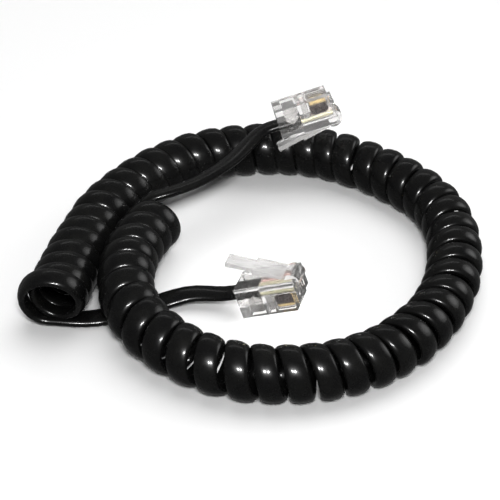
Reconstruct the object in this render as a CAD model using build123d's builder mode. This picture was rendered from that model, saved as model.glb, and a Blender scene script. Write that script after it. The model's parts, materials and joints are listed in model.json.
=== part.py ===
"""Coiled telephone handset cord: a flat four-core cord wound into a long coil, with a clear 4P4C plug at each end.

The cord lies on the plane Z = 0 in a loop. Its coil starts at end A, on the left, goes round the back, the
right and the front, and comes back to end B beside end A. A short straight tail leaves each end of the coil
and goes into a plug. Plug A lies inside the loop. Plug B lies on top of the coil, contacts up.

Units are millimetres. The origin is the middle of the bounding box in X and Y, on the resting plane.
+X is the long way across the loop, and +Z is up.
"""

from build123d import *
import math
import os

# Cord: flat, with rounded edges, four insulated cores side by side
CORD_WIDTH = 4.6
CORD_THICKNESS = 2.0
CORD_EDGE_RADIUS = 0.9
CORE_COUNT = 4
CORE_PITCH = 1.02
INSULATION_DIAMETER = 0.92
CONDUCTOR_DIAMETER = 0.46

# Coil: the cord's outer shape where it is wound, as one solid
COIL_DIAMETER = 11.2
COIL_HEIGHT = COIL_DIAMETER / 2

# Plug housing, in the plug's own frame: X from the cord entry to the nose, Z from contact side to latch side
PLUG_LENGTH = 12.6
PLUG_WIDTH = 7.65
PLUG_HEIGHT = 6.5
NOSE_SET_BACK = 0.9
NOSE_STEP_HEIGHT = 1.7
HOUSING_EDGE_RADIUS = 0.25
JACKET_Z = 4.1
JACKET_DEPTH = 4.85
ENTRY_WIDTH = 5.2
ENTRY_HEIGHT = 2.7
ENTRY_DEPTH = 5.0
WIRE_Z = 4.2
WIRE_END = 11.8
WIRE_CHAMBER_WIDTH = 4.3
WIRE_CHAMBER_HEIGHT = 1.2
SLOT_START = 7.25
SLOT_WIDTH = 0.45

# Clamp bars on the contact side: one presses the jacket, one presses the wires
CLAMP_WIDTH = 4.4
CLAMP_TOP = 0.5
JACKET_WINDOW = (1.7, 4.8)
JACKET_WEDGE = (1.85, 3.15, 4.5)
WEDGE_TIP_Z = 4.2
JACKET_TOP_Z = JACKET_Z - CORD_THICKNESS / 2
WIRE_WINDOW = (5.65, 6.9)
WINDOW_GAP = 0.05

# Contact blade
BLADE_THICKNESS = 0.3
BLADE_START = 7.45
BLADE_END = 11.1
BLADE_TOP = 0.75
BLADE_SHOULDER_Z = 3.2
BLADE_CORNER_RADIUS = 0.7
TOOTH_ROOT_Z = 3.6
TOOTH_TIP_Z = 4.3
TEETH_HALF_SPAN = 1.2

# Knuckle that the latch hangs from: its rounded outline from the hinge over the nose, in the housing's side view
KNUCKLE = [(11.8, 7.4), (13.1, 6.6), (13.5, 5.4), (13.05, 4.5)]

# Latch arm, measured from its living hinge: U towards the free end, V away from the housing
LATCH_WIDTH = 4.8
TAB_WIDTH = 3.4
HINGE_X = 10.4
HINGE_Z = 6.9
HINGE_GAP = 0.15
SHOULDER_U = 6.2
LATCH_LENGTH = 11.9
LATCH_OUTER_V = 0.45
LATCH_INNER_V = -0.65
TAB_INNER_V = -0.5
HINGE_HALF_THICKNESS = 0.3
LATCH_ANGLE_A = 23.0
LATCH_ANGLE_B = 10.0

# Routes of the coil's middle and of the two tails, chosen by hand
COIL_ROUTE = [
    (-40.4, -20.8, 7.2),
    (-38.8, -10.1, 6.0),
    (-35.3, 3.5, COIL_HEIGHT),
    (-30.0, 16.6, COIL_HEIGHT),
    (-20.0, 28.4, COIL_HEIGHT),
    (-7.0, 36.0, COIL_HEIGHT),
    (12.0, 37.1, COIL_HEIGHT),
    (29.4, 27.2, COIL_HEIGHT),
    (40.2, 13.5, COIL_HEIGHT),
    (40.4, -5.8, COIL_HEIGHT),
    (34.6, -21.0, COIL_HEIGHT),
    (23.1, -32.7, COIL_HEIGHT),
    (8.4, -37.2, COIL_HEIGHT),
    (-6.6, -35.6, COIL_HEIGHT),
    (-18.8, -26.8, 6.3),
    (-25.3, -17.4, 7.8),
    (-25.6, -6.3, 8.1),
    (-22.9, 4.0, 7.2),
    (-19.4, 10.9, 6.5),
]
TAIL_A_ROUTE = [
    (-39.0, -14.9, 1.0),
    (-32.8, -15.0, 1.0),
    (-26.0, -13.2, 1.0),
    (-19.3, -9.6, 1.0),
    (-12.8, -8.1, 1.4),
]
TAIL_B_ROUTE = [
    (-22.0, 11.6, 11.3),
    (-17.4, 12.9, 11.9),
    (-12.4, 16.2, 12.2),
    (-7.6, 20.8, 12.3),
    (-3.4, 25.0, 12.4),
    (-0.5, 29.1, 13.4),
]
TAIL_A_LAST_RUN = 4.6
TAIL_B_LAST_RUN = 3.2

# Where each plug lies: the middle of its back edge on the contact side, and its heading, pitch and roll
PLUG_A_ORIGIN = (-1.4, -11.1, 0.4)
PLUG_A_ANGLES = (-13.0, 20.5, -5.5)
PLUG_B_ORIGIN = (3.7, 32.8, 19.0)
PLUG_B_ANGLES = (10.5, 14.0, 164.0)


def plug_plane(origin, angles):
    """A plug's own frame: X to the nose, Z to the latch side."""
    heading, pitch, roll = (math.radians(angle) for angle in angles)
    nose = Vector(
        math.cos(pitch) * math.cos(heading),
        math.cos(pitch) * math.sin(heading),
        math.sin(pitch),
    )
    level = Vector(-math.sin(heading), math.cos(heading), 0)
    upright = nose.cross(level)
    latch_side = upright * math.cos(roll) - level * math.sin(roll)
    return Plane(origin=origin, x_dir=nose, z_dir=latch_side)


def side_plane(plug, offset=0.0):
    """The plane of a plug's side view, with X to the nose and Y to the latch side."""
    return Plane(
        origin=plug.from_local_coords(Vector(0, offset, 0)),
        x_dir=plug.x_dir,
        z_dir=-plug.y_dir,
    )


def latch_plane(plug, angle):
    """The side plane of a latch arm: X from the living hinge to the free end, Y away from the housing."""
    tilt = math.radians(angle)
    along = Vector(-math.cos(tilt), 0, math.sin(tilt))
    world_along = plug.x_dir * along.X + plug.z_dir * along.Z
    return Plane(
        origin=plug.from_local_coords(Vector(HINGE_X, 0, HINGE_Z)),
        x_dir=world_along,
        z_dir=plug.y_dir,
    )


def corner_radii(route):
    """The tangent arc at each corner of a route, as large as its two runs allow."""
    radii = []
    for before, corner, after in zip(route, route[1:], route[2:]):
        run_in = Vector(corner) - Vector(before)
        run_out = Vector(after) - Vector(corner)
        half_turn = math.radians(run_in.get_angle(run_out)) / 2
        radii.append(0.45 * min(run_in.length, run_out.length) / math.tan(half_turn))
    return radii


def save(part, name):
    """Label a finished piece and write it."""
    part.label = name
    export_step(part, f"parts/{name}.step")


def make_coil():
    """The wound length of the cord, as one tube of the coil's outer diameter."""
    radii = corner_radii(COIL_ROUTE)
    with BuildPart() as coil:
        with BuildLine() as path:
            FilletPolyline(*COIL_ROUTE, radius=radii)
        line = path.wires()[0]
        with BuildSketch(Plane(origin=line @ 0, z_dir=line % 0)):
            Circle(COIL_DIAMETER / 2)
        sweep(path=line)
    section = math.pi * COIL_DIAMETER**2 / 4
    print("coil length", round(line.length, 1), "radii", [round(radius, 1) for radius in radii])
    print("coil volume over section times length", round(coil.part.volume / section / line.length, 4))
    save(coil.part, "coil")


def make_tail(name, route, plug, last_run):
    """One straight tail of the cord, from the coil to the back of its plug, flat side down."""
    entry = Vector(0, 0, JACKET_Z)
    ahead = Vector(-last_run, 0, JACKET_Z)
    whole = route + [
        tuple(plug.from_local_coords(ahead)),
        tuple(plug.from_local_coords(entry)),
    ]
    radii = corner_radii(whole)
    with BuildPart() as tail:
        with BuildLine() as path:
            FilletPolyline(*whole, radius=radii)
        line = path.wires()[0]
        start = line % 0
        across = Vector(0, 0, 1).cross(start)
        with BuildSketch(Plane(origin=line @ 0, x_dir=across, z_dir=start)):
            RectangleRounded(CORD_WIDTH, CORD_THICKNESS, CORD_EDGE_RADIUS)
        sweep(path=line)
    corners = (4 - math.pi) * CORD_EDGE_RADIUS**2
    section = CORD_WIDTH * CORD_THICKNESS - corners
    print(name, "length", round(line.length, 1), "radii", [round(radius, 1) for radius in radii])
    print(name, "volume over section times length", round(tail.part.volume / section / line.length, 4))
    save(tail.part, name)


def make_housing(name, plug):
    """The clear moulded body of a plug, with its cord entry, windows, contact slots and latch knuckle."""
    side = side_plane(plug)
    with BuildPart(plug) as housing:
        with BuildSketch(side):
            with BuildLine():
                Polyline(
                    (0, 0),
                    (PLUG_LENGTH - NOSE_SET_BACK, 0),
                    (PLUG_LENGTH - NOSE_SET_BACK, NOSE_STEP_HEIGHT),
                    (PLUG_LENGTH, NOSE_STEP_HEIGHT),
                    (PLUG_LENGTH, PLUG_HEIGHT),
                    (0, PLUG_HEIGHT),
                    close=True,
                )
            make_face()
        extrude(amount=PLUG_WIDTH / 2, both=True)
        long_edges = housing.edges().filter_by(Axis(plug.origin, plug.x_dir))
        upright_edges = housing.edges().filter_by(Axis(plug.origin, plug.z_dir))
        fillet(long_edges + upright_edges, HOUSING_EDGE_RADIUS)
        with BuildSketch(side):
            with BuildLine():
                root = Polyline(
                    (HINGE_X + HINGE_GAP, PLUG_HEIGHT - 0.4),
                    (HINGE_X + HINGE_GAP, HINGE_Z + HINGE_HALF_THICKNESS),
                )
                crown = Spline(
                    (HINGE_X + HINGE_GAP, HINGE_Z + HINGE_HALF_THICKNESS),
                    *KNUCKLE,
                    tangents=[(0.95, 0.3), (-0.6, -0.8)],
                )
                Polyline(crown @ 1, (PLUG_LENGTH - 0.3, 4.0), root @ 0)
            make_face()
        extrude(amount=LATCH_WIDTH / 2, both=True)
        with Locations((ENTRY_DEPTH / 2, 0, JACKET_Z)):
            Box(ENTRY_DEPTH, ENTRY_WIDTH, ENTRY_HEIGHT, mode=Mode.SUBTRACT)
        with Locations(((ENTRY_DEPTH + WIRE_END) / 2, 0, WIRE_Z)):
            Box(WIRE_END - ENTRY_DEPTH, WIRE_CHAMBER_WIDTH, WIRE_CHAMBER_HEIGHT, mode=Mode.SUBTRACT)
        for start, end in (JACKET_WINDOW, WIRE_WINDOW):
            with Locations(((start + end) / 2, 0, WIRE_Z / 2)):
                Box(end - start, CLAMP_WIDTH + 2 * WINDOW_GAP, WIRE_Z, mode=Mode.SUBTRACT)
        slot_length = PLUG_LENGTH - SLOT_START
        with Locations((SLOT_START + slot_length / 2, 0, WIRE_Z / 2)):
            with GridLocations(1, CORE_PITCH, 1, CORE_COUNT):
                Box(slot_length, SLOT_WIDTH, WIRE_Z, mode=Mode.SUBTRACT)
    save(housing.part, name)


def make_latch(name, plug, angle):
    """The springy arm that locks the plug into its jack: a wide locking part and a narrow thumb tab."""
    arm = latch_plane(plug, angle)
    with BuildPart() as latch:
        with BuildSketch(arm):
            with BuildLine():
                Polyline(
                    (HINGE_GAP, -HINGE_HALF_THICKNESS),
                    (SHOULDER_U, LATCH_INNER_V),
                    (SHOULDER_U, LATCH_OUTER_V),
                    (HINGE_GAP, HINGE_HALF_THICKNESS),
                    close=True,
                )
            make_face()
        extrude(amount=LATCH_WIDTH / 2, both=True)
        with BuildSketch(arm):
            with BuildLine():
                Polyline(
                    (SHOULDER_U - 1.0, TAB_INNER_V),
                    (LATCH_LENGTH, TAB_INNER_V),
                    (LATCH_LENGTH, LATCH_OUTER_V),
                    (SHOULDER_U - 1.0, HINGE_HALF_THICKNESS),
                    close=True,
                )
            make_face()
        extrude(amount=TAB_WIDTH / 2, both=True)
        free_end = latch.faces().sort_by(Axis(arm.origin, arm.x_dir))[-1]
        fillet(free_end.edges(), HOUSING_EDGE_RADIUS)
    save(latch.part, name)


def make_jacket_end(name, plug):
    """The cord's jacket inside the housing, with the dent that the clamp wedge presses into it."""
    with BuildPart() as jacket:
        with BuildSketch(Plane(origin=plug.origin, x_dir=plug.y_dir, z_dir=plug.x_dir)):
            with Locations((0, JACKET_Z)):
                RectangleRounded(CORD_WIDTH, CORD_THICKNESS, CORD_EDGE_RADIUS)
        extrude(amount=JACKET_DEPTH)
        with BuildSketch(side_plane(plug)):
            with BuildLine():
                Polyline(
                    (JACKET_WEDGE[0], JACKET_TOP_Z - 0.5),
                    (JACKET_WEDGE[0], JACKET_TOP_Z),
                    (JACKET_WEDGE[1], WEDGE_TIP_Z),
                    (JACKET_WEDGE[2], JACKET_TOP_Z),
                    (JACKET_WEDGE[2], JACKET_TOP_Z - 0.5),
                    close=True,
                )
            make_face()
        extrude(amount=CORD_WIDTH / 2, both=True, mode=Mode.SUBTRACT)
    save(jacket.part, name)


def make_jacket_clamp(name, plug):
    """The wedge that is pressed down onto the jacket when the plug is crimped."""
    with BuildPart() as clamp:
        with BuildSketch(side_plane(plug)):
            with BuildLine():
                Polyline(
                    (JACKET_WEDGE[0], CLAMP_TOP),
                    (JACKET_WEDGE[2], CLAMP_TOP),
                    (JACKET_WEDGE[2], JACKET_TOP_Z),
                    (JACKET_WEDGE[1], WEDGE_TIP_Z),
                    (JACKET_WEDGE[0], JACKET_TOP_Z),
                    close=True,
                )
            make_face()
        extrude(amount=CLAMP_WIDTH / 2, both=True)
    save(clamp.part, name)


def make_wire_clamp(name, plug):
    """The bar that is pressed down onto the four wires when the plug is crimped."""
    start, end = WIRE_WINDOW
    wire_top = WIRE_Z - INSULATION_DIAMETER / 2
    with BuildPart(plug) as clamp:
        with Locations(((start + end) / 2, 0, (CLAMP_TOP + wire_top) / 2)):
            Box(end - start - 2 * WINDOW_GAP, CLAMP_WIDTH, wire_top - CLAMP_TOP)
        fillet(clamp.edges().filter_by(Axis(plug.origin, plug.y_dir)), HOUSING_EDGE_RADIUS)
    save(clamp.part, name)


def make_core(wire_name, conductor_name, plug, offset):
    """One core of the cord inside the housing: its insulation, and the conductor inside that."""
    section = Plane(
        origin=plug.from_local_coords(Vector(JACKET_DEPTH, offset, WIRE_Z)),
        x_dir=plug.y_dir,
        z_dir=plug.x_dir,
    )
    length = WIRE_END - JACKET_DEPTH - WINDOW_GAP
    with BuildPart() as insulation:
        with BuildSketch(section):
            Circle(INSULATION_DIAMETER / 2)
            Circle(CONDUCTOR_DIAMETER / 2, mode=Mode.SUBTRACT)
        extrude(amount=length)
    save(insulation.part, wire_name)
    with BuildPart() as conductor:
        with BuildSketch(section):
            Circle(CONDUCTOR_DIAMETER / 2)
        extrude(amount=length)
    save(conductor.part, conductor_name)


def make_contact(name, plug, offset):
    """A gold-plated blade: its rounded top meets the jack, and its two teeth pierce one core."""
    middle = (BLADE_START + BLADE_END) / 2
    with BuildPart() as contact:
        with BuildSketch(side_plane(plug, offset)):
            with BuildLine():
                FilletPolyline(
                    (middle - TEETH_HALF_SPAN, TOOTH_ROOT_Z),
                    (BLADE_START, BLADE_SHOULDER_Z),
                    (BLADE_START, BLADE_TOP),
                    (BLADE_END, BLADE_TOP),
                    (BLADE_END, BLADE_SHOULDER_Z),
                    (middle + TEETH_HALF_SPAN, TOOTH_ROOT_Z),
                    radius=[0.2, BLADE_CORNER_RADIUS, BLADE_CORNER_RADIUS, 0.2],
                )
                Polyline(
                    (middle + TEETH_HALF_SPAN, TOOTH_ROOT_Z),
                    (middle + TEETH_HALF_SPAN / 2, TOOTH_TIP_Z),
                    (middle, TOOTH_ROOT_Z),
                    (middle - TEETH_HALF_SPAN / 2, TOOTH_TIP_Z),
                    (middle - TEETH_HALF_SPAN, TOOTH_ROOT_Z),
                )
            make_face()
        extrude(amount=BLADE_THICKNESS / 2, both=True)
    save(contact.part, name)


def make_plug(name, plug, latch_angle):
    """Every piece of one plug, each in its own node."""
    make_housing(f"{name}_housing", plug)
    make_latch(f"{name}_latch", plug, latch_angle)
    make_jacket_end(f"{name}_jacket_end", plug)
    make_jacket_clamp(f"{name}_jacket_clamp", plug)
    make_wire_clamp(f"{name}_wire_clamp", plug)
    for number in range(1, CORE_COUNT + 1):
        offset = (number - (CORE_COUNT + 1) / 2) * CORE_PITCH
        make_core(f"{name}_wire_{number}", f"{name}_conductor_{number}", plug, offset)
        make_contact(f"{name}_contact_{number}", plug, offset)


def report_plug(name, plug, latch_angle):
    """Print what the record needs about a plug: its nose face and its latch hinge."""
    nose = plug.from_local_coords(Vector(PLUG_LENGTH, 0, NOSE_STEP_HEIGHT + 2.0))
    hinge = plug.from_local_coords(Vector(HINGE_X, 0, HINGE_Z))
    print(name, "nose face", tuple(nose), "facing", tuple(plug.x_dir))
    print(name, "hinge", tuple(hinge), "axis", tuple(-plug.y_dir), "latch angle", latch_angle)


os.makedirs("parts", exist_ok=True)
plug_a = plug_plane(PLUG_A_ORIGIN, PLUG_A_ANGLES)
plug_b = plug_plane(PLUG_B_ORIGIN, PLUG_B_ANGLES)
make_coil()
make_tail("tail_a", TAIL_A_ROUTE, plug_a, TAIL_A_LAST_RUN)
make_tail("tail_b", TAIL_B_ROUTE, plug_b, TAIL_B_LAST_RUN)
make_plug("plug_a", plug_a, LATCH_ANGLE_A)
make_plug("plug_b", plug_b, LATCH_ANGLE_B)
report_plug("plug_a", plug_a, LATCH_ANGLE_A)
report_plug("plug_b", plug_b, LATCH_ANGLE_B)
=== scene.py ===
"""The looks of a coiled telephone handset cord with a clear 4P4C plug at each end, around its CAD frame.

Everything is in metres, in the frame of the CAD part: +X the long way across the loop, +Z up, the cord
lying on the plane Z = 0. The cord is one flat band from plug A, through its coil, to plug B.
"""

from bisect import bisect_right
import json
import math

import bmesh
import bpy
from mathutils import Matrix, Vector, noise


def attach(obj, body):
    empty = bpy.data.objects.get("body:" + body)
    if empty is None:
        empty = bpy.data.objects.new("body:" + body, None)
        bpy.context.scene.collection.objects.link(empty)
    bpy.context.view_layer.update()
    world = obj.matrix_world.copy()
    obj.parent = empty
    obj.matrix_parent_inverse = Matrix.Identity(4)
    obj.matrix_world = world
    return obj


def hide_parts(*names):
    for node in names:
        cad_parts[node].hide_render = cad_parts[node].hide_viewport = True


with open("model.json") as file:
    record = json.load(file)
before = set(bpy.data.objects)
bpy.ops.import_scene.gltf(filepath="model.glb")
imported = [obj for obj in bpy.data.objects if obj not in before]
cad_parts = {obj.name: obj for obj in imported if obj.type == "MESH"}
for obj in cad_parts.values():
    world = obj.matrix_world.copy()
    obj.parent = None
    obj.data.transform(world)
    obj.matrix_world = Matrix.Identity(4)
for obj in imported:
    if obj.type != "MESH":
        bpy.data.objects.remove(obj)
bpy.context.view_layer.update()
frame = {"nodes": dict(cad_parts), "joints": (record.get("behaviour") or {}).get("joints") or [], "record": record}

UP = Vector((0, 0, 1))
MM = 0.001

# Camera: 38 degrees above the floor, 400 mm from a point just left of the middle of the loop
CAMERA_ELEVATION = 38.0
CAMERA_DISTANCE = 0.400
CAMERA_LENS_MM = 142.56
CAMERA_AIM = (-0.00105, 0.00085, 0.0058)

# Cord: a flat band with a crowned section
BAND_WIDTH = 4.6 * MM
BAND_THICKNESS = 2.0 * MM
BAND_SQUARENESS = 2.15
BAND_SIDES = 28
CORE_COUNT = 4
CORE_RIPPLE = 0.018 * MM

# The coil's middle, from end A round the back, the right and the front to end B
COIL_ROUTE = [
    (-0.0394, -0.0208, 0.0078),
    (-0.0380, -0.0101, 0.0066),
    (-0.0351, 0.0035, 0.0056),
    (-0.0303, 0.0168, 0.0056),
    (-0.0203, 0.0288, 0.0056),
    (-0.0072, 0.0364, 0.0056),
    (0.0120, 0.0371, 0.0056),
    (0.0294, 0.0272, 0.0056),
    (0.0402, 0.0135, 0.0056),
    (0.0404, -0.0058, 0.0056),
    (0.0346, -0.0210, 0.0056),
    (0.0231, -0.0327, 0.0056),
    (0.0084, -0.0372, 0.0056),
    (-0.0066, -0.0356, 0.0056),
    (-0.0192, -0.0272, 0.0063),
    (-0.0253, -0.0174, 0.0078),
    (-0.0256, -0.0063, 0.0081),
    (-0.0229, 0.0040, 0.0072),
    (-0.0194, 0.0109, 0.0065),
]

# The tails, each from its end of the coil to its plug
TAIL_A_ROUTE = [
    (-0.0328, -0.0153, 0.0011),
    (-0.0260, -0.0136, 0.0011),
    (-0.0193, -0.0103, 0.0012),
    (-0.0128, -0.0085, 0.0024),
]
TAIL_B_ROUTE = [
    (-0.0228, 0.0116, 0.0098),
    (-0.0211, 0.0115, 0.0114),
    (-0.0172, 0.0124, 0.0119),
    (-0.0124, 0.0150, 0.0121),
    (-0.0080, 0.0192, 0.0122),
    (-0.0041, 0.0236, 0.0125),
    (-0.0009, 0.0283, 0.0134),
]
TAIL_A_LAST_RUN = 4.6 * MM
TAIL_B_LAST_RUN = 3.2 * MM

# The way that tail B's upper face looks: at its first points, as it leaves the last turn, and after them
TAIL_B_FIRST_FACES = [Vector((-0.57, 0.32, 0.76)), Vector((-0.36, 0.27, 0.89))]
TAIL_B_FACE = Vector((-0.27, 0.30, 0.91))

# The turns: how many turns from end A, radius to the middle of the band, pitch, lean of the band and
# rake of the whole turn towards end A, both in degrees
TURNS = 53.25
TURN_POINTS = 14
FIRST_TURN_ANGLE = -90.0
END_INSET_A = 4.3 * MM
END_INSET_B = 1.3 * MM
TURN_SHAPES = [
    (0.0, 7.20 * MM, 0.3 * MM, 6.0, 17.0),
    (0.25, 6.75 * MM, 0.6 * MM, 6.0, 17.0),
    (0.5, 5.60 * MM, 1.0 * MM, 8.0, 17.0),
    (0.75, 4.85 * MM, 2.0 * MM, 8.0, 16.0),
    (1.0, 5.20 * MM, 3.4 * MM, 8.0, 15.0),
    (2.0, 5.05 * MM, 4.2 * MM, 8.0, 12.0),
    (4.0, 5.00 * MM, 4.35 * MM, 7.0, 8.0),
    (9.0, 4.85 * MM, 4.4 * MM, 6.0, 3.0),
    (14.0, 4.60 * MM, 4.9 * MM, 6.0, 0.0),
    (17.0, 4.45 * MM, 4.75 * MM, 5.0, 0.0),
    (20.0, 4.35 * MM, 4.8 * MM, 5.0, 0.0),
    (24.0, 4.35 * MM, 4.9 * MM, 4.0, 0.0),
    (26.0, 4.45 * MM, 5.3 * MM, 4.0, 0.0),
    (28.0, 4.60 * MM, 5.0 * MM, 4.0, 0.0),
    (32.0, 4.65 * MM, 4.95 * MM, 4.0, 0.0),
    (34.0, 4.60 * MM, 4.8 * MM, 4.0, 0.0),
    (38.0, 4.50 * MM, 4.8 * MM, 3.0, 0.0),
    (40.0, 4.50 * MM, 5.0 * MM, 3.0, 0.0),
    (43.0, 4.60 * MM, 5.3 * MM, 4.0, 0.0),
    (46.0, 4.62 * MM, 4.7 * MM, 5.0, 0.0),
    (53.5, 4.70 * MM, 4.3 * MM, 6.0, 0.0),
]

# How unlike each other the turns are, how far their middles keep off the floor beyond the band itself,
# and how far ahead and behind the coil's direction is read
RADIUS_UNEVENNESS = 0.09 * MM
PLACE_UNEVENNESS = 0.22 * MM
LEAN_UNEVENNESS = 3.0
FLOOR_MARGIN = 0.45 * MM
DIRECTION_REACH = 2.0 * MM

# Steps of the lines between two control points, and how far the line that guides the band's face stands off
COIL_MIDDLE_STEPS = 40
BAND_STEPS = 3
GUIDE_REACH = 5.0 * MM

# Plug, in its own frame: X from the cord entry to the nose, Z from the contact side to the latch side.
# The dent is where the clamp wedge presses the jacket, and below PLATED_Z a blade is gold on its sides too
PLUG_NAMES = ("plug_a", "plug_b")
PLUG_LENGTH = 12.6 * MM
NOSE_FACE_Z = 3.7 * MM
JACKET_Z = 4.1 * MM
JACKET_DEPTH = 4.85 * MM
JACKET_STEPS = 12
DENT_START = 1.85 * MM
DENT_TIP = 3.15 * MM
DENT_END = 4.5 * MM
DENT_EDGE_Z = 3.1 * MM
DENT_TIP_Z = 4.2 * MM
PLATED_Z = 1.25 * MM
PLATED_BLUR = 0.2 * MM

# Clear plastic: the share of the light that goes through, and the brightness of what comes out.
# The plugs and the latch are one plastic. Their differing values are painted shade, not a difference in the
# plastic
CLEARNESS_AND_PAINTED_SHADE = {"plug_a": (0.975, 0.67), "plug_b": (0.975, 0.78), "latch": (0.70, 0.58)}

# Colours
JACKET_BLACK = (0.0030, 0.0030, 0.0032)
JACKET_DUSTY = (0.0060, 0.0060, 0.0056)
CLEAR_TINT = (1.0, 0.99, 0.98)
GOLD = (0.50, 0.375, 0.17)
# Sheared blade sides: bare bronze, painted near black, which is partly painted shade between the close-set blades
BARE_BRONZE_AND_PAINTED_SHADE = (0.020, 0.013, 0.012)
COPPER = (0.85, 0.48, 0.30)
DULL_COPPER = (0.62, 0.33, 0.20)
WIRE_COLOURS = {
    "wire_black": (0.16, 0.13, 0.12),
    "wire_red": (0.42, 0.27, 0.25),
    "wire_green": (0.40, 0.36, 0.26),
    "wire_yellow": (0.34, 0.325, 0.215),
}
FLOOR_GREY = (0.90, 0.90, 0.90)
WHITE = (1.0, 1.0, 1.0)

FLOOR_HALF_SIZE = 3.0
SURROUND_STRENGTH = 0.17


def add_object(name, data):
    """A new object with this data, in the scene."""
    made = bpy.data.objects.new(name, data)
    bpy.context.scene.collection.objects.link(made)
    return made


def make_camera():
    """The camera, looking along +Y and down at the loop."""
    lens = bpy.data.cameras.new("camera")
    lens.lens = CAMERA_LENS_MM
    camera = add_object("camera", lens)
    tilt = math.radians(CAMERA_ELEVATION)
    back = Vector((0, -math.cos(tilt), math.sin(tilt)))
    camera.location = Vector(CAMERA_AIM) + back * CAMERA_DISTANCE
    camera.rotation_mode = "QUATERNION"
    camera.rotation_quaternion = (-back).to_track_quat("-Z", "Y")
    bpy.context.scene.camera = camera


def plug_frame(name):
    """A plug's own frame as a matrix, from its nose mount and its latch hinge in the record."""
    record = frame["record"]
    nose = next(mount for mount in record["mounts"] if mount["name"] == name + "_nose")
    hinge = next(joint for joint in frame["joints"] if joint["name"] == name + "_latch_hinge")
    along = Vector(nose["axis"]).normalized()
    across = -Vector(hinge["axis"]).normalized()
    latch_side = along.cross(across).normalized()
    origin = Vector(nose["pos_m"]) - along * PLUG_LENGTH - latch_side * NOSE_FACE_Z
    return Matrix.Translation(origin) @ Matrix((along, across, latch_side)).transposed().to_4x4()


def read_line(points, resolution):
    """Points along the NURBS curve of order 3 that has these control points."""
    curve = bpy.data.curves.new("route", "CURVE")
    curve.dimensions = "3D"
    spline = curve.splines.new("NURBS")
    spline.points.add(len(points) - 1)
    for control, point in zip(spline.points, points):
        control.co = (*point, 1.0)
    spline.order_u = 3
    spline.use_endpoint_u = True
    spline.resolution_u = resolution
    holder = add_object("route", curve)
    mesh = bpy.data.meshes.new_from_object(holder)
    line = [vertex.co.copy() for vertex in mesh.vertices]
    bpy.data.objects.remove(holder)
    bpy.data.curves.remove(curve)
    bpy.data.meshes.remove(mesh)
    return line


def lengths_along(line):
    """How far along a line each of its points is."""
    lengths = [0.0]
    for before, after in zip(line, line[1:]):
        lengths.append(lengths[-1] + (after - before).length)
    return lengths


def place_on(line, lengths, distance):
    """The point of a line at this distance from its start."""
    index = min(max(bisect_right(lengths, distance), 1), len(line) - 1)
    run = lengths[index] - lengths[index - 1]
    share = (distance - lengths[index - 1]) / run
    return line[index - 1].lerp(line[index], share)


def turn_shape(turn):
    """Radius, pitch, lean and rake of the coil this many turns from end A."""
    stations = [row[0] for row in TURN_SHAPES]
    index = min(max(bisect_right(stations, turn), 1), len(stations) - 1)
    low = TURN_SHAPES[index - 1]
    high = TURN_SHAPES[index]
    part = (turn - low[0]) / (high[0] - low[0])
    return [start + part * (end - start) for start, end in zip(low[1:], high[1:])]


def uneven(turn, kind):
    """A smooth value from about -1 to 1 that differs from turn to turn, one row of values for each kind."""
    return 2.0 * noise.noise(Vector((turn * 0.83, kind * 17.3, 0.5)))


def coil_stations(start, end, count):
    """Distances along the coil's middle of its control points, by the pitch of each turn."""
    reached = [0.0]
    for number in range(count - 1):
        pitch = turn_shape((number + 0.5) / TURN_POINTS)[1]
        reached.append(reached[-1] + pitch / TURN_POINTS)
    return [start + (end - start) * distance / reached[-1] for distance in reached]


def make_turns():
    """Control points of the coil's turns, with the way that the band's outer face looks at each."""
    middle = read_line(COIL_ROUTE, COIL_MIDDLE_STEPS)
    lengths = lengths_along(middle)
    count = round(TURNS * TURN_POINTS) + 1
    stations = coil_stations(END_INSET_A, lengths[-1] - END_INSET_B, count)
    controls = []
    for number, distance in enumerate(stations):
        turn = number / TURN_POINTS
        radius, _, lean, rake = turn_shape(turn)
        radius += RADIUS_UNEVENNESS * uneven(turn, 1)
        ahead = place_on(middle, lengths, distance + DIRECTION_REACH)
        behind = place_on(middle, lengths, distance - DIRECTION_REACH)
        along = (ahead - behind).normalized()
        side = UP.cross(along).normalized()
        over = along.cross(side)
        centre = place_on(middle, lengths, distance + PLACE_UNEVENNESS * uneven(turn, 2))
        angle = math.radians(FIRST_TURN_ANGLE) + 2 * math.pi * turn
        lift = radius * math.sin(angle)
        centre.z = max(centre.z, BAND_THICKNESS / 2 + FLOOR_MARGIN - lift)
        outward = side * math.cos(angle) + over * math.sin(angle)
        raked = centre - along * lift * math.tan(math.radians(rake))
        tilt = math.radians(lean + LEAN_UNEVENNESS * uneven(turn, 3))
        face = outward * math.cos(tilt) - along * math.sin(tilt)
        controls.append((raked + outward * radius / math.cos(math.pi / TURN_POINTS), face))
    return controls


def jacket_controls(plug, last_run):
    """Control points of the cord from its end inside a plug to the last point before the entry."""
    contact_side = -(plug.to_3x3() @ UP)
    controls = []
    for step in range(JACKET_STEPS + 1):
        depth = JACKET_DEPTH * (1 - step / JACKET_STEPS)
        controls.append((plug @ Vector((depth, 0, JACKET_Z)), contact_side))
    controls.append((plug @ Vector((-last_run, 0, JACKET_Z)), contact_side))
    return controls


def cord_controls(plugs):
    """Control points of the whole cord, plug A to plug B, with the way that the band's outer face looks."""
    later_faces = [TAIL_B_FACE] * (len(TAIL_B_ROUTE) - len(TAIL_B_FIRST_FACES))
    controls = jacket_controls(plugs["plug_a"], TAIL_A_LAST_RUN)
    controls += [(Vector(point), -UP) for point in reversed(TAIL_A_ROUTE)]
    controls += make_turns()
    controls += [(Vector(point), face) for point, face in zip(TAIL_B_ROUTE, TAIL_B_FIRST_FACES + later_faces)]
    controls += reversed(jacket_controls(plugs["plug_b"], TAIL_B_LAST_RUN))
    return controls


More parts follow.
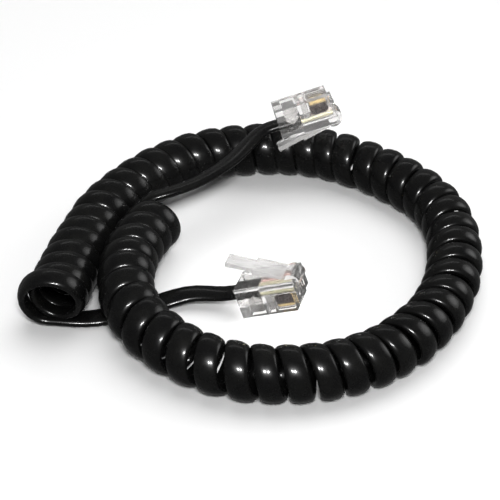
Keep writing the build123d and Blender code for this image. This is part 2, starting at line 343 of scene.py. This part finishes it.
def band_section():
    """Outline of the band's section: across, and outward. Four cores show faintly through its faces."""
    outline = []
    for number in range(BAND_SIDES):
        angle = 2 * math.pi * number / BAND_SIDES
        power = 2 / BAND_SQUARENESS
        across = math.copysign(abs(math.cos(angle)) ** power, math.cos(angle))
        outward = math.copysign(abs(math.sin(angle)) ** power, math.sin(angle))
        ripple = CORE_RIPPLE * math.cos(CORE_COUNT * math.pi * across) * outward
        outline.append((across * BAND_WIDTH / 2, outward * BAND_THICKNESS / 2 - ripple))
    return outline


def press_dent(point, plug):
    """Moves a point of the jacket off the wedge that is pressed into it inside a plug."""
    local = plug.inverted() @ point
    if not DENT_START < local.x < DENT_END:
        return point
    if local.x < DENT_TIP:
        depth = (local.x - DENT_START) / (DENT_TIP - DENT_START)
    else:
        depth = (DENT_END - local.x) / (DENT_END - DENT_TIP)
    local.z = max(local.z, DENT_EDGE_Z + depth * (DENT_TIP_Z - DENT_EDGE_Z))
    return plug @ local


def band_rings(path, guide, plugs):
    """The band's section at each point of its path, turned so that its outer face looks at the guide."""
    outline = band_section()
    lengths = lengths_along(path)
    rings = []
    for index, point in enumerate(path):
        before = path[max(index - 1, 0)]
        after = path[min(index + 1, len(path) - 1)]
        along = (after - before).normalized()
        outward = guide[index] - point
        outward = (outward - along * outward.dot(along)).normalized()
        across = outward.cross(along)
        ring = [point + across * width + outward * height for width, height in outline]
        if lengths[index] < JACKET_DEPTH:
            ring = [press_dent(place, plugs["plug_a"]) for place in ring]
        if lengths[-1] - lengths[index] < JACKET_DEPTH:
            ring = [press_dent(place, plugs["plug_b"]) for place in ring]
        rings.append(ring)
    return rings


def make_band(path, rings):
    """The cord's closed mesh, with a map that runs round the section and along the path."""
    lengths = lengths_along(path)
    mesh = bmesh.new()
    uv = mesh.loops.layers.uv.new("band")
    rows = [[mesh.verts.new(place) for place in ring] for ring in rings]
    for index, (row, following) in enumerate(zip(rows, rows[1:])):
        start = lengths[index] / BAND_WIDTH
        end = lengths[index + 1] / BAND_WIDTH
        for number in range(BAND_SIDES):
            beside = (number + 1) % BAND_SIDES
            face = mesh.faces.new((row[number], row[beside], following[beside], following[number]))
            face.smooth = True
            left = number / BAND_SIDES
            right = (number + 1) / BAND_SIDES
            corners = ((left, start), (right, start), (right, end), (left, end))
            for loop, corner in zip(face.loops, corners):
                loop[uv].uv = corner
    mesh.faces.new(reversed(rows[0]))
    mesh.faces.new(rows[-1])
    bmesh.ops.recalc_face_normals(mesh, faces=mesh.faces)
    data = bpy.data.meshes.new("handset_cord")
    mesh.to_mesh(data)
    mesh.free()
    return add_object("handset_cord", data)


def make_cord(plugs):
    """The whole cord as one band: plug A, tail A, the coil, tail B, plug B."""
    controls = cord_controls(plugs)
    path = read_line([point for point, _ in controls], BAND_STEPS)
    guide = read_line([point + face * GUIDE_REACH for point, face in controls], BAND_STEPS)
    cord = make_band(path, band_rings(path, guide, plugs))
    cord.data.materials.append(make_jacket_material())

    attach(cord, "cord")
    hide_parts("coil", "tail_a", "tail_b", "plug_a_jacket_end", "plug_b_jacket_end")


def new_material(name):
    """A material, with its node tree and its Principled shader."""
    material = bpy.data.materials.new(name)
    material.use_nodes = True
    tree = material.node_tree
    return material, tree, tree.nodes["Principled BSDF"]


def object_place(tree):
    """Each point's place in the object, which the patterns of a material follow."""
    return tree.nodes.new("ShaderNodeTexCoord").outputs["Object"]


def noise_range(tree, coordinates, scale, detail, low=0.0, high=1.0):
    """A noise pattern spread over a range of values."""
    pattern = tree.nodes.new("ShaderNodeTexNoise")
    pattern.inputs["Scale"].default_value = scale
    pattern.inputs["Detail"].default_value = detail
    tree.links.new(coordinates, pattern.inputs["Vector"])
    spread = tree.nodes.new("ShaderNodeMapRange")
    spread.inputs["From Min"].default_value = 0.3
    spread.inputs["From Max"].default_value = 0.7
    spread.inputs["To Min"].default_value = low
    spread.inputs["To Max"].default_value = high
    tree.links.new(pattern.outputs["Fac"], spread.inputs["Value"])
    return spread.outputs["Result"]


def blend_colours(tree, shader, first, second, share):
    """Gives a shader a base colour between two, by a pattern."""
    blend = tree.nodes.new("ShaderNodeMix")
    blend.data_type = "RGBA"
    blend.inputs["A"].default_value = (*first, 1)
    blend.inputs["B"].default_value = (*second, 1)
    tree.links.new(share, blend.inputs["Factor"])
    tree.links.new(blend.outputs["Result"], shader.inputs["Base Color"])


def add_bump(tree, shader, height, strength, distance):
    """Bump from a height pattern."""
    bump = tree.nodes.new("ShaderNodeBump")
    bump.inputs["Strength"].default_value = strength
    bump.inputs["Distance"].default_value = distance
    tree.links.new(height, bump.inputs["Height"])
    tree.links.new(bump.outputs["Normal"], shader.inputs["Normal"])


def make_jacket_material():
    """Glossy black PVC, with faint lines drawn along the cord and a slightly uneven gloss."""
    material, tree, shader = new_material("cord_jacket")
    place = object_place(tree)
    band = tree.nodes.new("ShaderNodeUVMap")
    band.uv_map = "band"
    stretch = tree.nodes.new("ShaderNodeMapping")
    stretch.inputs["Scale"].default_value = (40.0, 0.6, 1.0)
    tree.links.new(band.outputs["UV"], stretch.inputs["Vector"])
    lines = noise_range(tree, stretch.outputs["Vector"], scale=3.0, detail=3.0)
    add_bump(tree, shader, lines, strength=0.10, distance=0.02 * MM)
    gloss = noise_range(tree, place, scale=900.0, detail=4.0, low=0.24, high=0.33)
    tree.links.new(gloss, shader.inputs["Roughness"])
    dust = noise_range(tree, place, scale=260.0, detail=5.0)
    blend_colours(tree, shader, JACKET_BLACK, JACKET_DUSTY, dust)
    shader.inputs["IOR"].default_value = 1.5
    shader.inputs["Specular IOR Level"].default_value = 0.10
    shader.inputs["Coat Weight"].default_value = 0.20
    shader.inputs["Coat Roughness"].default_value = 0.10
    return material


def make_clear_material(name, clearness, painted_brightness):
    """Clear polycarbonate. Rays from lamps pass it, so that what is inside is lit. Its base colour is darkened by
    a painted shade, set apart for each plug and the latch.
    """
    material, tree, shader = new_material(name)
    place = object_place(tree)
    # Painted shade: each copy of the plastic is darkened by its own factor
    tint = [channel * painted_brightness for channel in CLEAR_TINT]
    shader.inputs["Base Color"].default_value = (*tint, 1)
    shader.inputs["Transmission Weight"].default_value = clearness
    shader.inputs["IOR"].default_value = 1.42
    gloss = noise_range(tree, place, scale=500.0, detail=3.0, low=0.05, high=0.12)
    tree.links.new(gloss, shader.inputs["Roughness"])
    flow = noise_range(tree, place, scale=700.0, detail=2.0)
    add_bump(tree, shader, flow, strength=0.15, distance=0.05 * MM)
    through = tree.nodes.new("ShaderNodeBsdfTransparent")
    path = tree.nodes.new("ShaderNodeLightPath")
    either = tree.nodes.new("ShaderNodeMixShader")
    tree.links.new(path.outputs["Is Shadow Ray"], either.inputs["Fac"])
    tree.links.new(shader.outputs["BSDF"], either.inputs[1])
    tree.links.new(through.outputs["BSDF"], either.inputs[2])
    tree.links.new(either.outputs["Shader"], tree.nodes["Material Output"].inputs["Surface"])
    return material


def make_copper_material():
    """Bare copper conductors with a worn, slightly uneven shine."""
    material, tree, shader = new_material("conductor_copper")
    place = object_place(tree)
    tarnish = noise_range(tree, place, scale=1400.0, detail=4.0)
    blend_colours(tree, shader, COPPER, DULL_COPPER, tarnish)
    shader.inputs["Metallic"].default_value = 1.0
    gloss = noise_range(tree, place, scale=2200.0, detail=3.0, low=0.25, high=0.45)
    tree.links.new(gloss, shader.inputs["Roughness"])
    return material


def bare_side_and_shade_share(tree, coordinates, plug):
    """From 0 to 1, how much a surface looks across the plug, as the sheared sides of a blade do. These sides face
    the next blade, and take a painted shade as well as the bare bronze.
    """
    facing = tree.nodes.new("ShaderNodeVectorMath")
    facing.operation = "DOT_PRODUCT"
    facing.inputs[1].default_value = plug.to_3x3() @ Vector((0, 1, 0))
    tree.links.new(coordinates.outputs["Normal"], facing.inputs[0])
    sideways = tree.nodes.new("ShaderNodeMath")
    sideways.operation = "ABSOLUTE"
    tree.links.new(facing.outputs["Value"], sideways.inputs[0])
    sheared = tree.nodes.new("ShaderNodeMapRange")
    sheared.inputs["From Min"].default_value = 0.5
    sheared.inputs["From Max"].default_value = 0.9
    tree.links.new(sideways.outputs["Value"], sheared.inputs["Value"])
    return sheared.outputs["Result"]


def unplated_share(tree, coordinates, plug):
    """From 0 to 1, how far inside the plug a point is, past the plated rim of its blade."""
    latch_side = plug.to_3x3() @ UP
    height = tree.nodes.new("ShaderNodeVectorMath")
    height.operation = "DOT_PRODUCT"
    height.inputs[1].default_value = latch_side
    tree.links.new(coordinates.outputs["Object"], height.inputs[0])
    plated_height = plug.translation.dot(latch_side) + PLATED_Z
    bare = tree.nodes.new("ShaderNodeMapRange")
    bare.inputs["From Min"].default_value = plated_height - PLATED_BLUR
    bare.inputs["From Max"].default_value = plated_height + PLATED_BLUR
    tree.links.new(height.outputs["Value"], bare.inputs["Value"])
    return bare.outputs["Result"]


def make_contact_material(name, plug):
    """Contact blades: gold plate on the rim and beside it, dark bare bronze on the rest of the sheared sides. That
    bronze is near black: partly the bare metal, partly painted shade between the close-set blades.
    """
    material, tree, shader = new_material(name)
    coordinates = tree.nodes.new("ShaderNodeTexCoord")
    bare_and_shaded = tree.nodes.new("ShaderNodeMath")
    bare_and_shaded.operation = "MULTIPLY"
    tree.links.new(bare_side_and_shade_share(tree, coordinates, plug), bare_and_shaded.inputs[0])
    tree.links.new(unplated_share(tree, coordinates, plug), bare_and_shaded.inputs[1])
    # Painted shade, with the bare bronze: sideways faces above the plated rim get the near-black colour
    blend_colours(tree, shader, GOLD, BARE_BRONZE_AND_PAINTED_SHADE, bare_and_shaded.outputs["Value"])
    shader.inputs["Metallic"].default_value = 0.4
    gloss = noise_range(tree, coordinates.outputs["Object"], scale=2200.0, detail=3.0, low=0.22, high=0.36)
    tree.links.new(gloss, shader.inputs["Roughness"])
    return material


def make_insulation_material(name, colour):
    """Coloured core insulation, a soft plastic with a low shine."""
    material, tree, shader = new_material(name)
    place = object_place(tree)
    shade = noise_range(tree, place, scale=1200.0, detail=3.0)
    darker = [0.8 * channel for channel in colour]
    blend_colours(tree, shader, colour, darker, shade)
    gloss = noise_range(tree, place, scale=1500.0, detail=3.0, low=0.35, high=0.5)
    tree.links.new(gloss, shader.inputs["Roughness"])
    return material


def paint(node, material):
    """Gives a CAD node this material in every slot."""
    piece = frame["nodes"][node]
    if not piece.material_slots:
        piece.data.materials.append(material)
    for slot in piece.material_slots:
        slot.material = material


def paint_plugs(plugs):
    """Materials of the plugs' CAD nodes, by the slot that the record gives each."""
    by_slot = {slot: make_insulation_material(slot, colour) for slot, colour in WIRE_COLOURS.items()}
    by_slot["conductor_copper"] = make_copper_material()
    clear = {kind: make_clear_material(kind + "_plastic", *clearness_and_shade) for kind, clearness_and_shade in CLEARNESS_AND_PAINTED_SHADE.items()}
    contacts = {name: make_contact_material(name + "_contact_gold", plug) for name, plug in plugs.items()}
    for part in frame["record"]["subparts"]:
        node = part["node"]
        slot = part["material_slot"]
        plug_name = next((name for name in PLUG_NAMES if node.startswith(name)), None)
        if slot == "contact_gold":
            paint(node, contacts[plug_name])
        elif slot == "clear_plastic":
            paint(node, clear["latch" if node.endswith("latch") else plug_name])
        elif slot in by_slot:
            paint(node, by_slot[slot])


def make_floor():
    """A plain pale floor, which doesn't show in the gloss of the cord."""
    mesh = bmesh.new()
    bmesh.ops.create_grid(mesh, x_segments=1, y_segments=1, size=FLOOR_HALF_SIZE)
    data = bpy.data.meshes.new("floor")
    mesh.to_mesh(data)
    mesh.free()
    floor = add_object("floor", data)
    floor.visible_glossy = False
    material, _, shader = new_material("floor")
    shader.inputs["Base Color"].default_value = (*FLOOR_GREY, 1)
    shader.inputs["Roughness"].default_value = 0.9
    shader.inputs["Specular IOR Level"].default_value = 0.1
    data.materials.append(material)


def make_lamp(name, place, width, height, watts, mirrored=True, lights=True):
    """A soft lamp that faces the loop. It can light without showing in gloss, or show in gloss only."""
    lamp = bpy.data.lights.new(name, "AREA")
    lamp.shape = "ELLIPSE"
    lamp.size = width
    lamp.size_y = height
    lamp.energy = watts
    holder = add_object(name, lamp)
    holder.location = place
    holder.rotation_mode = "QUATERNION"
    holder.rotation_quaternion = (-Vector(place)).to_track_quat("-Z", "Y")
    holder.visible_glossy = mirrored
    holder.visible_diffuse = lights
    holder.visible_transmission = lights


def light_scene():
    """Plain soft studio light: a dim surround, a wide lamp overhead, and lamps that give the gloss."""
    world = bpy.data.worlds.new("surround")
    world.use_nodes = True
    background = world.node_tree.nodes["Background"]
    background.inputs["Color"].default_value = (*WHITE, 1)
    background.inputs["Strength"].default_value = SURROUND_STRENGTH
    bpy.context.scene.world = world
    make_lamp("overhead", (0.1, 0.35, 1.0), width=1.2, height=1.2, watts=8.0, mirrored=False)
    make_lamp("key", (0.01, -0.31, 0.33), width=0.08, height=0.08, watts=1.15, mirrored=False)
    make_lamp("shine_left", (-0.035, -0.31, 0.33), width=0.06, height=0.06, watts=2.4, lights=False)
    make_lamp("shine_right", (0.05, -0.31, 0.33), width=0.06, height=0.06, watts=2.4, lights=False)
    make_lamp("side", (0.80, 0.37, 0.36), width=0.80, height=0.70, watts=2.2)
    make_lamp("side_core", (0.79, 0.36, 0.36), width=0.45, height=0.40, watts=0.8)
    make_lamp("back", (0.0, 0.95, 0.62), width=1.0, height=0.10, watts=0.5)
    bpy.context.scene.view_settings.view_transform = "Standard"


make_camera()
plugs = {name: plug_frame(name) for name in PLUG_NAMES}
make_cord(plugs)
paint_plugs(plugs)
make_floor()
light_scene()
